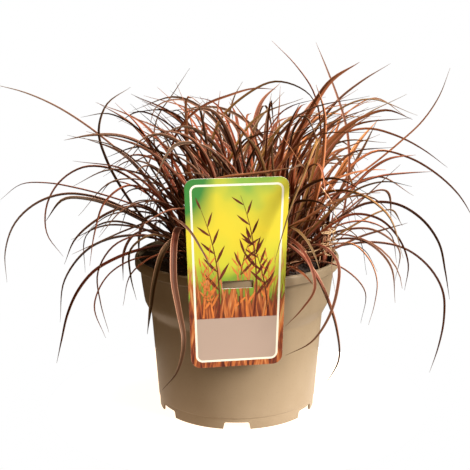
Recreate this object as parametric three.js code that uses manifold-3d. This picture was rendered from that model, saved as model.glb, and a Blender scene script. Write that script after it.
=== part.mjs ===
// A potted red hook sedge: a clump of leafy shoots in compost, in a 17 cm nursery pot with a hanging label.
// Millimetres, +Z up. The origin is the middle of the pot's foot, on the surface that the pot stands on.
import * as THREE from 'three';
import { mergeVertices } from 'three/addons/utils/BufferGeometryUtils.js';
import Module from 'manifold-3d';

const wasm = await Module();
wasm.setup();

// Driving dimensions of the pot, a thin injection-moulded container of about two litres.
const potHeight = 130;
const lipRadius = 85;
const lipDepth = 8.5;
const collarTopRadius = 81;
const collarFootRadius = 77.5;
const collarFootZ = 92;
const bodyTopRadius = 72;
const bodyTopZ = 83;
const footRadius = 65.5;
const stepZ = 9.5;
const potWall = 1.5;
const floorUnderside = 6.5;
const floorThickness = 1.6;
const potSides = 42;
const notchCount = 6;
const notchWidth = 21;
const notchHeight = 5.8;
const notchReach = 12;
const drainCount = 6;
const drainRadius = 5;
const drainRing = 44;

// Driving dimensions of the compost and of the gap between neighbouring pieces.
const gap = 0.3;
const soilEdgeZ = 117;
const soilMound = 3;
const soilSides = 30;

// Driving dimensions of the plant label, a tapered plastic card that hooks over the lip.
const labelTopWidth = 80;
const labelFootWidth = 71;
const labelTopZ = 209.5;
const labelFootZ = 62;
const labelCorner = 7.5;
const labelThickness = 0.8;
const labelYaw = THREE.MathUtils.degToRad(10);
const slotWidth = 24;
const slotHeight = 6;
const slotOffset = 0.6;
const tongueWidth = 12.5;
const tongueOffset = 4.6;
const tongueDrop = 8;
const tongueReach = 9.3;

// Driving dimensions of the plant.
const clump = { x: 8, y: 2, halfWidth: 55, halfDepth: 50, spacing: 15.2, jitter: 2.6 };
const sheath = { sides: 5, footRadius: 4.7, topRadius: 3.3, footZ: 98, topZ: 147 };
const bladeHalf = { fine: 1.25, plain: 1.9, broad: 2.6 };
const bladeDepth = 1.15;
const bladeTries = 300;
const placedTries = 360;
const placedRoot = { z: 124, jitter: 12 };
const rootOffset = 2.1;
const reachX = 200;
const reachY = 170;
const plantTop = 306;
const lowestBlade = 22;

// Driving dimensions of the leaves that a rule places, in degrees where they are angles.
const freeRounds = 10;
const freeSpread = { x: 116, y: 140, stray: 0.45 };
const freeTop = { usual: 262, stray: 20 };
const freeLength = { outer: 118, inner: 158, more: 70 };
const freeLean = { outer: 40, inner: 4, away: 8, jitter: 30 };
const freeBend = { least: 45, more: 125 };
const freePower = { least: 1.1, more: 1.4 };
const freeSweep = 160;
const freeRoot = { outer: 123, inner: 139, jitter: 2 };

// Leaves placed by hand, each by its width and by the points that it passes on its way from shoot to tip.
const placedLeaves = [
  ['plain', [[-58, -30, 144], [-83, -38, 141], [-114, -40, 126], [-133, -42, 100], [-147, -42, 48]]],
  ['plain', [[-46, -70, 166], [-49, -94, 182], [-34, -103, 172], [-17, -104, 139]]],
  ['broad', [[58, -52, 205], [62, -66, 240], [56, -80, 226], [47, -88, 204], [39, -93, 185], [34, -95, 168],
    [28, -97, 147]]],
  ['plain', [[-32, -52, 186], [-20, -64, 203], [0, -71, 208], [24, -75, 212], [50, -78, 217]]],
  ['broad', [[-53, -5, 185], [-72, -8, 221], [-102, -12, 232], [-138, -20, 228]]],
  ['fine', [[-73, 15, 189], [-115, 12, 229], [-145, 10, 250], [-168, 5, 262], [-199, 0, 271]]],
  ['plain', [[-70, -25, 160], [-99, -28, 204], [-109, -28, 235], [-105, -26, 254], [-84, -20, 270]]],
  ['plain', [[-53, -35, 210], [-68, -38, 231], [-87, -42, 248], [-102, -46, 253], [-120, -50, 250]]],
  ['plain', [[-79, -5, 189], [-107, -8, 205], [-134, -10, 202], [-154, -14, 178], [-155, -18, 150],
    [-142, -20, 132]]],
  ['fine', [[-60, 0, 160], [-92, 0, 175], [-146, 5, 188], [-176, 10, 188], [-198, 12, 173]]],
  ['plain', [[-70, -20, 161], [-110, -22, 182], [-144, -24, 185], [-175, -26, 168], [-188, -28, 138],
    [-187, -30, 113]]],
  ['broad', [[-80, -50, 173], [-110, -58, 187], [-131, -64, 190], [-147, -70, 172]]],
  ['plain', [[-65, -40, 175], [-89, -45, 179], [-124, -56, 159], [-135, -60, 136]]],
  ['plain', [[-68, -50, 193], [-93, -66, 198], [-106, -76, 175], [-112, -84, 141]]],
  ['fine', [[-56, -60, 164], [-82, -72, 162], [-126, -84, 149]]],
  ['fine', [[-67, -70, 162], [-89, -80, 160], [-106, -88, 135], [-98, -90, 90]]],
  ['plain', [[-58, -80, 164], [-77, -88, 162], [-81, -92, 144], [-76, -94, 117]]],
  ['broad', [[-44, -66, 164], [-55, -82, 165], [-64, -91, 144], [-69, -92, 90]]],
  ['broad', [[-46, -76, 167], [-49, -106, 161], [-48, -136, 141], [-43, -156, 121], [-40, -166, 102],
    [-46, -163, 81], [-54, -156, 68]]],
  ['fine', [[-51, 10, 190], [-71, 20, 226], [-56, 25, 255], [-39, 30, 281]]],
  ['broad', [[-34, -58, 207], [-34, -58, 233], [-36, -58, 254], [-31, -57, 262], [-25, -56, 258]]],
  ['broad', [[20, -40, 183], [24, -52, 233], [25, -58, 266], [28, -66, 242]]],
  ['plain', [[-18, 0, 233], [11, -5, 265], [38, -10, 274], [62, -20, 260], [70, -24, 241]]],
  ['fine', [[69, 10, 215], [65, 8, 257], [51, 6, 281], [28, 2, 305]]],
  ['plain', [[82, 0, 150], [91, -4, 205], [88, -6, 238], [78, -6, 268], [63, -4, 304]]],
  ['broad', [[39, -10, 202], [55, -14, 242], [72, -20, 273], [96, -24, 290]]],
  ['fine', [[53, 20, 201], [74, 28, 242], [95, 34, 263], [129, 40, 284]]],
  ['fine', [[63, 40, 206], [84, 50, 235], [122, 62, 254]]],
  ['broad', [[50, -30, 193], [69, -38, 227], [95, -46, 249], [123, -52, 256], [134, -56, 249]]],
  ['fine', [[77, 5, 174], [127, 12, 215], [156, 16, 242], [171, 18, 268], [175, 18, 282]]],
  ['plain', [[69, 10, 215], [94, 14, 233], [128, 20, 228], [154, 24, 215], [178, 26, 198]]],
  ['plain', [[85, 0, 196], [117, 2, 217], [151, 4, 206], [181, 4, 183], [199, 4, 156]]],
  ['broad', [[70, -40, 171], [88, -50, 193], [110, -58, 217], [136, -64, 223]]],
  ['plain', [[76, -15, 178], [106, -20, 197], [131, -24, 202], [156, -28, 204]]],
  ['plain', [[68, -60, 175], [90, -70, 197], [108, -76, 205], [131, -82, 202]]],
  ['plain', [[77, 0, 163], [93, 2, 196], [106, 4, 220], [114, 4, 239]]],
  ['fine', [[70, -40, 155], [93, -46, 180], [126, -54, 214]]],
  ['plain', [[76, -15, 157], [98, -18, 175], [132, -22, 176], [161, -26, 151], [174, -28, 98]]],
  ['plain', [[65, -60, 160], [83, -66, 177], [113, -72, 173], [131, -76, 144], [129, -78, 120]]],
  ['plain', [[60, -20, 134], [92, -26, 145], [132, -30, 144], [164, -34, 116], [169, -34, 78],
    [159, -34, 37]]],
  ['fine', [[61, -62, 148], [87, -70, 156], [105, -76, 139], [108, -78, 120], [102, -78, 92]]],
  ['broad', [[71, -35, 140], [98, -42, 155], [134, -50, 167]]],
  ['broad', [[33, -72, 158], [57, -88, 139], [74, -92, 101], [78, -92, 68], [68, -92, 48]]],
  ['plain', [[57, -66, 153], [74, -80, 151], [75, -90, 120], [59, -98, 88], [37, -100, 75]]],
  ['plain', [[38, -68, 158], [52, -90, 151], [58, -99, 126], [36, -101, 98]]],
  ['plain', [[-55, -40, 219], [-46, -44, 241], [-34, -48, 255], [-18, -50, 262], [-1, -52, 269],
    [19, -50, 272], [29, -48, 271]]],
  ['plain', [[14, 60, 205], [22, 100, 240], [30, 140, 232], [36, 166.4, 196]]],
  ['plain', [[-30, 60, 190], [-52, 92, 212], [-78, 128, 196], [-92, 146, 150]]],
  ['plain', [[56, 58, 185], [80, 88, 208], [104, 118, 190], [120, 138, 140]]],
  ['broad', [[-10, 66, 165], [-16, 92, 168], [-22, 104, 140], [-20, 108, 80]]],
  ['broad', [[40, 64, 165], [52, 88, 166], [60, 98, 138], [66, 102, 72]]],
  ['plain', [[-1, -10, 239], [-21, -14, 249], [-40, -18, 258], [-51, -22, 261], [-60, -26, 258],
    [-68, -30, 249], [-69, -34, 238]]],
  ['plain', [[63, -46, 192], [68, -44, 231], [66, -42, 264], [61, -40, 274]]],
];

// The colours of each kind of piece.
const potMaterial = new THREE.MeshStandardMaterial({ color: 0x9c8266, roughness: 0.5, metalness: 0 });
const soilMaterial = new THREE.MeshStandardMaterial({ color: 0x2a1d15, roughness: 1, metalness: 0 });
const labelMaterial = new THREE.MeshStandardMaterial({ color: 0xb9c24a, roughness: 0.35, metalness: 0 });
const leafMaterial = new THREE.MeshStandardMaterial({ color: 0x6e3524, roughness: 0.45, metalness: 0 });

// A repeatable draw between 0 and 1 that starts from a whole number.
function drawFrom(seed) {
  let state = seed >>> 0;
  return () => {
    state = (state + 0x6d2b79f5) >>> 0;
    let mixed = Math.imul(state ^ (state >>> 15), state | 1);
    mixed ^= mixed + Math.imul(mixed ^ (mixed >>> 7), mixed | 61);
    return ((mixed ^ (mixed >>> 14)) >>> 0) / 4294967296;
  };
}

// Closed solids go in and out of the library that joins and cuts them.
function solidFromArrays(positions, triangles) {
  const mesh = new wasm.Mesh({
    numProp: 3,
    vertProperties: new Float32Array(positions),
    triVerts: new Uint32Array(triangles),
  });
  return new wasm.Manifold(mesh);
}

function solidFromGeometry(source) {
  const bare = source.clone();
  bare.deleteAttribute('normal');
  bare.deleteAttribute('uv');
  const merged = mergeVertices(bare, 1e-3);
  const index = merged.index.array;
  const triangles = [];
  for (let i = 0; i < index.length; i += 3) {
    const [a, b, c] = [index[i], index[i + 1], index[i + 2]];
    if (a !== b && b !== c && c !== a) triangles.push(a, b, c);
  }
  return solidFromArrays(merged.attributes.position.array, triangles);
}

// Only the largest shell is kept, so that a hollow sealed in between joined blades is filled.
function largestShell(cornerCount, triangles) {
  const parent = Array.from({ length: cornerCount }, (_, i) => i);
  const rootOf = (i) => {
    let top = i;
    while (parent[top] !== top) top = parent[top];
    parent[i] = top;
    return top;
  };
  for (let i = 0; i < triangles.length; i += 3) {
    parent[rootOf(triangles[i])] = rootOf(triangles[i + 1]);
    parent[rootOf(triangles[i + 1])] = rootOf(triangles[i + 2]);
  }
  const counts = new Map();
  for (const corner of triangles) counts.set(rootOf(corner), (counts.get(rootOf(corner)) ?? 0) + 1);
  const largest = [...counts].sort((a, b) => b[1] - a[1])[0][0];
  const kept = [];
  for (let i = 0; i < triangles.length; i += 3) {
    if (rootOf(triangles[i]) === largest) kept.push(...triangles.subarray(i, i + 3));
  }
  return kept;
}

function geometryFromSolid(solid) {
  const mesh = solid.getMesh();
  const corners = new Float32Array(mesh.numVert * 3);
  for (let i = 0; i < mesh.numVert; i += 1) {
    corners.set(mesh.vertProperties.subarray(i * mesh.numProp, i * mesh.numProp + 3), i * 3);
  }
  const geometry = new THREE.BufferGeometry();
  geometry.setAttribute('position', new THREE.BufferAttribute(corners, 3));
  geometry.setIndex(new THREE.BufferAttribute(new Uint32Array(mesh.triVerts), 1));
  const whole = mergeVertices(geometry, 1e-4);
  whole.setIndex(largestShell(whole.attributes.position.count, whole.index.array));
  whole.computeVertexNormals();
  return whole;
}

function namedMesh(name, geometry, material) {
  const mesh = new THREE.Mesh(geometry, material);
  mesh.name = name;
  return mesh;
}

// A lathe turns about Y, and this stands it up along Z.
function turned(profile, sides) {
  const points = profile.map(([radius, z]) => new THREE.Vector2(radius, z));
  return new THREE.LatheGeometry(points, sides).rotateX(Math.PI / 2);
}

// The pot's outer and inner outlines, from the foot up, as radius and height.
const floorTop = floorUnderside + floorThickness;
const potOutside = [
  [footRadius, 0],
  [footRadius + 0.4, stepZ],
  [footRadius + 0.9, stepZ + 0.8],
  [bodyTopRadius, bodyTopZ],
  [collarFootRadius, collarFootZ],
  [collarFootRadius + 1.5, collarFootZ + 6],
  [collarTopRadius, potHeight - lipDepth],
  [lipRadius - 1.4, potHeight - lipDepth + 1.2],
  [lipRadius, potHeight - 5],
  [lipRadius, potHeight - 2],
  [lipRadius - 0.9, potHeight - 0.4],
  [lipRadius - 1.8, potHeight],
];
const potInside = [
  [footRadius - potWall + 0.6, floorTop],
  [bodyTopRadius - potWall, bodyTopZ],
  [collarFootRadius - potWall, collarFootZ],
  [collarTopRadius - potWall, potHeight - lipDepth],
  [lipRadius - 2.9, potHeight - 1.2],
];

function radiusAt(outline, z) {
  const last = outline[outline.length - 1];
  if (z >= last[1]) return last[0];
  const i = Math.max(1, outline.findIndex(([, height]) => height > z));
  const [lowRadius, lowZ] = outline[i - 1];
  const [highRadius, highZ] = outline[i];
  return THREE.MathUtils.mapLinear(z, lowZ, highZ, lowRadius, highRadius);
}

// The pot stands on a notched skirt, with drain holes in its raised floor.
function potGeometry() {
  const profile = [
    [0, floorUnderside],
    [footRadius - potWall, floorUnderside],
    [footRadius - potWall, 0],
    ...potOutside,
    ...potInside.slice().reverse(),
    [0, floorTop],
  ];
  let pot = solidFromGeometry(turned(profile, potSides));
  for (let i = 0; i < notchCount; i += 1) {
    const angle = -Math.PI / 2 + (i * 2 * Math.PI) / notchCount;
    const notch = new THREE.BoxGeometry(notchReach, notchWidth, 2 * notchHeight).translate(footRadius, 0, 0);
    pot = pot.subtract(solidFromGeometry(notch.rotateZ(angle)));
  }
  for (let i = 0; i < drainCount; i += 1) {
    const angle = (i * 2 * Math.PI) / drainCount;
    const depth = 5 * floorThickness;
    const drain = new THREE.CylinderGeometry(drainRadius, drainRadius, depth, 10).rotateX(Math.PI / 2);
    drain.translate(drainRing, 0, floorUnderside + floorThickness / 2).rotateZ(angle);
    pot = pot.subtract(solidFromGeometry(drain));
  }
  return geometryFromSolid(pot);
}

// The compost is a little mounded and crumbly on top.
function soilTopAt(x, y) {
  const away = Math.hypot(x, y) / radiusAt(potInside, soilEdgeZ);
  const crumbs = 0.7 * Math.sin(x / 5.3 + 1) * Math.cos(y / 6.1) + 0.6 * Math.sin((x - y) / 8.7 + 2);
  return soilEdgeZ + soilMound * (1 - away * away) + crumbs * (1 - away ** 6);
}

// Shoots stand in a jittered triangular grid inside the clump's oval.
function shootPlaces() {
  const draw = drawFrom(11);
  const places = [];
  const rowStep = clump.spacing * Math.sqrt(0.75);
  const rows = Math.floor(clump.halfDepth / rowStep);
  for (let row = -rows; row <= rows; row += 1) {
    const shift = (Math.abs(row) % 2) * 0.5;
    for (let column = -5; column <= 5; column += 1) {
      const x = (column + shift) * clump.spacing + (draw() - 0.5) * clump.jitter;
      const y = row * rowStep + (draw() - 0.5) * clump.jitter;
      const away = Math.hypot(x / clump.halfWidth, y / clump.halfDepth);
      if (away <= 0.97) places.push({ x: clump.x + x, y: clump.y + y, away });
    }
  }
  return places;
}

const shoots = shootPlaces();

function sheathGeometry(radiusFoot, radiusTop, footZ, topZ, place) {
  const height = topZ - footZ;
  const body = new THREE.CylinderGeometry(radiusTop, radiusFoot, height, sheath.sides).rotateX(Math.PI / 2);
  return body.translate(place.x, place.y, footZ + height / 2);
}

function soilGeometry() {
  const wall = potInside.filter(([, z]) => z > floorTop && z < soilEdgeZ);
  const profile = [
    [0, floorTop + gap],
    [potInside[0][0] - 1.5 * gap, floorTop + gap],
    ...wall.map(([radius, z]) => [radius - 1.5 * gap, z]),
    [radiusAt(potInside, soilEdgeZ) - 1.5 * gap, soilEdgeZ],
  ];
  const rings = 4;
  for (let i = rings - 1; i >= 0; i -= 1) {
    profile.push([(radiusAt(potInside, soilEdgeZ) * i) / rings, soilEdgeZ + 1]);
  }
  const lathe = turned(profile, soilSides);
  const corners = lathe.attributes.position;
  for (let i = 0; i < corners.count; i += 1) {
    if (corners.getZ(i) > soilEdgeZ + 0.5) corners.setZ(i, soilTopAt(corners.getX(i), corners.getY(i)));
  }
  let soil = solidFromGeometry(lathe);
  const holeRadius = sheath.footRadius + 0.4;
  for (const place of shoots) {
    const hole = sheathGeometry(holeRadius, holeRadius, sheath.footZ - gap, potHeight, place);
    soil = soil.subtract(solidFromGeometry(hole));
  }
  return geometryFromSolid(soil);
}

// The label's card has a slot for the lip, and its tongue hooks over the lip into the pot.
const labelDistance = lipRadius + gap + labelThickness / 2;
const slotTopZ = potHeight + gap;

function cardShape() {
  const top = labelTopWidth / 2;
  const foot = labelFootWidth / 2;
  const outline = new THREE.Shape();
  outline.moveTo(-foot + labelCorner, labelFootZ);
  outline.lineTo(foot - labelCorner, labelFootZ);
  outline.quadraticCurveTo(foot, labelFootZ, foot + 0.4, labelFootZ + labelCorner);
  outline.lineTo(top - 0.4, labelTopZ - labelCorner);
  outline.quadraticCurveTo(top, labelTopZ, top - labelCorner, labelTopZ);
  outline.lineTo(-top + labelCorner, labelTopZ);
  outline.quadraticCurveTo(-top, labelTopZ, -top + 0.4, labelTopZ - labelCorner);
  outline.lineTo(-foot - 0.4, labelFootZ + labelCorner);
  outline.quadraticCurveTo(-foot, labelFootZ, -foot + labelCorner, labelFootZ);
  const slot = new THREE.Path();
  slot.moveTo(slotOffset - slotWidth / 2, slotTopZ - slotHeight);
  slot.lineTo(slotOffset - slotWidth / 2, slotTopZ);
  slot.lineTo(slotOffset + slotWidth / 2, slotTopZ);
  slot.lineTo(slotOffset + slotWidth / 2, slotTopZ - slotHeight);
  outline.holes.push(slot);
  return outline;
}

function labelGeometry() {
  const flat = { depth: labelThickness, bevelEnabled: false, curveSegments: 5 };
  const card = new THREE.ExtrudeGeometry(cardShape(), flat).translate(0, 0, -labelThickness / 2);
  let label = solidFromGeometry(card.rotateX(Math.PI / 2));
  const bridge = new THREE.BoxGeometry(tongueWidth, tongueReach, labelThickness);
  bridge.translate(tongueOffset, tongueReach / 2, slotTopZ + labelThickness / 2);
  const tongue = new THREE.BoxGeometry(tongueWidth, labelThickness, tongueDrop + labelThickness);
  const tongueMiddleZ = slotTopZ + (labelThickness - tongueDrop) / 2;
  tongue.translate(tongueOffset, tongueReach - labelThickness / 2, tongueMiddleZ);
  label = label.add(solidFromGeometry(bridge)).add(solidFromGeometry(tongue));
  return geometryFromSolid(label);
}

const labelPlace = new THREE.Vector3(0, -labelDistance / Math.cos(labelYaw), 0);

// Blades are three-sided strips: a flat face and a keel under it, fine at the tip.
const widthAlong = [[0, 0.66], [0.28, 1], [0.62, 0.92], [0.86, 0.62], [1, 0]];

function shareAt(table, s) {
  const i = Math.max(1, table.findIndex(([place]) => place >= s));
  return THREE.MathUtils.mapLinear(s, table[i - 1][0], table[i][0], table[i - 1][1], table[i][1]);
}

// A frame is carried along the blade without turning it, and then twisted by the blade's own share.
function stationsAlong(points, steps, half, twist) {
  const curve = new THREE.CatmullRomCurve3(points, false, 'centripetal');
  const stations = [];
  let side = null;
  for (let i = 0; i < steps.length; i += 1) {
    const along = curve.getTangentAt(steps[i]);
    if (side === null) {
      const lean = new THREE.Vector3(points[1].x - points[0].x, points[1].y - points[0].y, 0).normalize();
      side = new THREE.Vector3(-lean.y, lean.x, 0);
    }
    side = side.clone().addScaledVector(along, -side.dot(along)).normalize();
    const turnedSide = side.clone().applyAxisAngle(along, twist * steps[i]);
    const up = new THREE.Vector3().crossVectors(along, turnedSide);
    const width = half * shareAt(widthAlong, steps[i]);
    const depth = bladeDepth * (1 - 0.35 * steps[i]);
    stations.push({ centre: curve.getPointAt(steps[i]), side: turnedSide, up, width, depth });
  }
  return stations;
}

function bladeSolid(stations) {
  const positions = [];
  const triangles = [];
  const last = stations.length - 1;
  for (let i = 0; i < last; i += 1) {
    const { centre, side, up, width, depth } = stations[i];
    const left = centre.clone().addScaledVector(side, width);
    const right = centre.clone().addScaledVector(side, -width);
    const keel = centre.clone().addScaledVector(up, -depth);
    positions.push(...left.toArray(), ...right.toArray(), ...keel.toArray());
  }
  positions.push(...stations[last].centre.toArray());
  const tip = last * 3;
  triangles.push(0, 2, 1);
  for (let i = 0; i < last - 1; i += 1) {
    for (let k = 0; k < 3; k += 1) {
      const [a, b] = [3 * i + k, 3 * i + ((k + 1) % 3)];
      triangles.push(a, b, a + 3, b, b + 3, a + 3);
    }
  }
  for (let k = 0; k < 3; k += 1) {
    triangles.push(tip - 3 + k, tip - 3 + ((k + 1) % 3), tip);
  }
  return solidFromArrays(positions, triangles);
}

// Blades keep clear of each other: each stretch is filed by the boxes of space that it passes.
const boxSize = 16;
const filingMargin = 3;
const farApart = 6;
const touching = 0.4;
const ownRootRoom = 3;
const filed = new Map();

function boxesOf(a, b, margin) {
  const keys = [];
  const low = a.clone().min(b).subScalar(margin).divideScalar(boxSize).floor();
  const high = a.clone().max(b).addScalar(margin).divideScalar(boxSize).floor();
  for (let i = low.x; i <= high.x; i += 1) {
    for (let j = low.y; j <= high.y; j += 1) {
      for (let k = low.z; k <= high.z; k += 1) keys.push(`${i},${j},${k}`);
    }
  }
  return keys;
}

// The shortest way between two stretches, after the usual closest-point formula.
const [spanP, spanQ, spanR] = [new THREE.Vector3(), new THREE.Vector3(), new THREE.Vector3()];

function shortestWay(first, second, way) {
  const own = first.shoot === second.shoot;
  const firstStart = own ? first.amongOwn : first.a;
  const secondStart = own ? second.amongOwn : second.a;
  spanP.subVectors(first.b, firstStart);
  spanQ.subVectors(second.b, secondStart);
  spanR.subVectors(firstStart, secondStart);
  const [a, e, f] = [spanP.dot(spanP), spanQ.dot(spanQ), spanQ.dot(spanR)];
  const [c, b] = [spanP.dot(spanR), spanP.dot(spanQ)];
  const bottom = a * e - b * b;
  let s = bottom > 1e-9 ? THREE.MathUtils.clamp((b * f - c * e) / bottom, 0, 1) : 0;
  let t = (b * s + f) / e;
  if (t < 0 || t > 1) {
    t = THREE.MathUtils.clamp(t, 0, 1);
    s = THREE.MathUtils.clamp((b * t - c) / a, 0, 1);
  }
  way.copy(secondStart).addScaledVector(spanQ, t);
  return way.sub(firstStart).addScaledVector(spanP, -s);
}

// How far a stretch's own section reaches towards a direction.
function reachTowards(stretch, direction) {
  const across = stretch.width * Math.abs(stretch.side.dot(direction));
  return across + stretch.depth * Math.max(0, -stretch.up.dot(direction));
}

// The point where a blade's first stretch is a given distance clear of its own sheath.
function sheathExit(root, next, shoot, clearance) {
  const point = root.clone();
  for (let t = 0; t < 1; t += 0.02) {
    point.lerpVectors(root, next, t);
    const away = Math.hypot(point.x - shoot.x, point.y - shoot.y);
    if (away > sheath.topRadius + clearance || point.z > sheath.topZ + clearance) return point;
  }
  return point;
}

function stretchesOf(stations, shoot) {
  const stretches = [];
  for (let i = 0; i < stations.length - 1; i += 1) {
    const [near, far] = [stations[i], stations[i + 1]];
    const isFirst = i === 0;
    stretches.push({
      a: isFirst ? sheathExit(near.centre, far.centre, shoot, 0) : near.centre,
      amongOwn: isFirst ? sheathExit(near.centre, far.centre, shoot, ownRootRoom) : near.centre,
      b: far.centre,
      side: near.side.clone().add(far.side).normalize(),
      up: near.up.clone().add(far.up).normalize(),
      width: Math.max(near.width, far.width),
      depth: near.depth,
      shoot,
    });
  }
  return stretches;
}

// A blade may not pass through the pot, the compost, the label, the floor or another shoot's sheath.
const frontMargin = { side: 4, top: 30, lip: 8 };
const toLabel = new THREE.Matrix4().makeRotationZ(-labelYaw);
toLabel.multiply(new THREE.Matrix4().makeTranslation(-labelPlace.x, -labelPlace.y, 0));

function clearOfPieces(point, margin, shoot) {
  if (Math.hypot(point.x / reachX, point.y / reachY) > 1) return false;
  if (point.z > plantTop || point.z < lowestBlade) return false;
  const away = Math.hypot(point.x, point.y);
  if (point.z < potHeight + margin) {
    const outside = away > Math.max(lipRadius * 0.985, radiusAt(potOutside, point.z)) + margin;
    const inside = away < radiusAt(potInside, point.z) - margin;
    const own = shoot !== null && Math.hypot(point.x - shoot.x, point.y - shoot.y) < sheath.topRadius;
    if (!outside && !(inside && (own || point.z > soilTopAt(point.x, point.y) + margin))) return false;
  }
  const card = point.clone().applyMatrix4(toLabel);
  const beside = Math.abs(card.x) < labelTopWidth / 2 + margin;
  const deep = card.y > -labelThickness - margin && card.y < labelThickness + margin;
  if (beside && deep && card.z < labelTopZ + margin && card.z > labelFootZ - margin) return false;
  const overTongue = Math.abs(card.x - tongueOffset) < tongueWidth / 2 + margin;
  const behindCard = card.y > 0 && card.y < tongueReach + margin;
  const tongueHeight = card.z > slotTopZ - tongueDrop - margin && card.z < slotTopZ + labelThickness + margin;
  if (overTongue && behindCard && tongueHeight) return false;
  if (point.z < sheath.topZ + margin) {
    for (const other of shoots) {
      const near = Math.hypot(point.x - other.x, point.y - other.y) < sheath.footRadius + margin;
      if (other !== shoot && near) return false;
    }
  }
  return true;
}

// The front of the label and of the pot is left to the leaves placed by hand.
function hidesFront(point) {
  const card = point.clone().applyMatrix4(toLabel);
  if (card.y > 0) return false;
  const overLabel = Math.abs(card.x) < labelTopWidth / 2 + frontMargin.side;
  const overPot = Math.abs(point.x) < lipRadius;
  if (overLabel && point.z < labelTopZ + frontMargin.top) return true;
  return overPot && point.z < potHeight + frontMargin.lip;
}

const way = new THREE.Vector3();

function bladeIsClear(stations, stretches, shoot) {
  const probe = new THREE.Vector3();
  for (let i = 0; i < stretches.length; i += 1) {
    const margin = stretches[i].width * 0.8 + 0.8;
    for (let t = 0; t <= 1; t += 0.0625) {
      probe.lerpVectors(stretches[i].a, stretches[i].b, t);
      if (!clearOfPieces(probe, margin, i === 0 ? shoot : null)) return false;
    }
  }
  for (const stretch of stretches) {
    for (const key of boxesOf(stretch.a, stretch.b, filingMargin)) {
      for (const other of filed.get(key) ?? []) {
        shortestWay(stretch, other, way);
        const distance = way.length();
        if (distance > farApart) continue;
        if (distance < touching) return false;
        way.divideScalar(distance);
        const needed = reachTowards(stretch, way) + reachTowards(other, way.negate()) + 2 * gap;
        if (distance < needed) return false;
      }
    }
  }
  return true;
}

function fileBlade(stretches) {
  for (const stretch of stretches) {
    for (const key of boxesOf(stretch.a, stretch.b, filingMargin)) {
      if (!filed.has(key)) filed.set(key, []);
      filed.get(key).push(stretch);
    }
  }
}

// A blade leaves its sheath a little off the middle, on its own side.
function rootPoint(shoot, azimuth, z) {
  return new THREE.Vector3(rootOffset * Math.cos(azimuth), rootOffset * Math.sin(azimuth), 0)
    .add(new THREE.Vector3(shoot.x, shoot.y, z));
}

// A shoot that already has many leaves counts as further away.
const crowding = 1.2;

function nearestShoots(x, y, count) {
  const distance = (shoot) => Math.hypot(shoot.x - x, shoot.y - y) + crowding * shoot.blades.length;
  return shoots.slice().sort((a, b) => distance(a) - distance(b)).slice(0, count);
}

function placeLeaf(width, via, seed) {
  const draw = drawFrom(seed);
  const candidates = nearestShoots(via[0][0], via[0][1], 4);
  for (let attempt = 0; attempt < placedTries; attempt += 1) {
    const shoot = candidates[attempt % candidates.length];
    const loose = attempt * 0.05;
    const shift = new THREE.Vector3(draw() - 0.5, 2 * (draw() - 0.5), draw() - 0.5).multiplyScalar(loose);
    const azimuth = Math.atan2(via[0][1] - shoot.y, via[0][0] - shoot.x) + (draw() - 0.5) * 0.6;
    const points = [rootPoint(shoot, azimuth, placedRoot.z + placedRoot.jitter * draw())];
    via.forEach(([x, y, z], i) => {
      const share = i === via.length - 1 ? 0.15 : 1;
      points.push(new THREE.Vector3(x, y, z).addScaledVector(shift, share));
    });
    const count = via.length + 3;
    const steps = Array.from({ length: count + 1 }, (_, i) => i / count);
    const stations = stationsAlong(points, steps, bladeHalf[width], (draw() - 0.5) * 1.2);
    const stretches = stretchesOf(stations, shoot);
    if (bladeIsClear(stations, stretches, shoot)) {
      fileBlade(stretches);
      shoot.blades.push(stations);
      return;
    }
  }
}

// The arching line of a leaf that leans out from its root, bends over and sweeps a little to one side.
function archingLine(root, azimuth, lean, bend, power, sweep, length) {
  const points = [root];
  const links = 12;
  for (let i = 0; i < links; i += 1) {
    const share = (i + 0.5) / links;
    const tilt = lean + bend * share ** power;
    const heading = azimuth + sweep * share;
    const out = (length / links) * Math.sin(tilt);
    const rise = (length / links) * Math.cos(tilt);
    const step = new THREE.Vector3(out * Math.cos(heading), out * Math.sin(heading), rise);
    points.push(points[i].clone().add(step));
  }
  return points;
}

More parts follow.
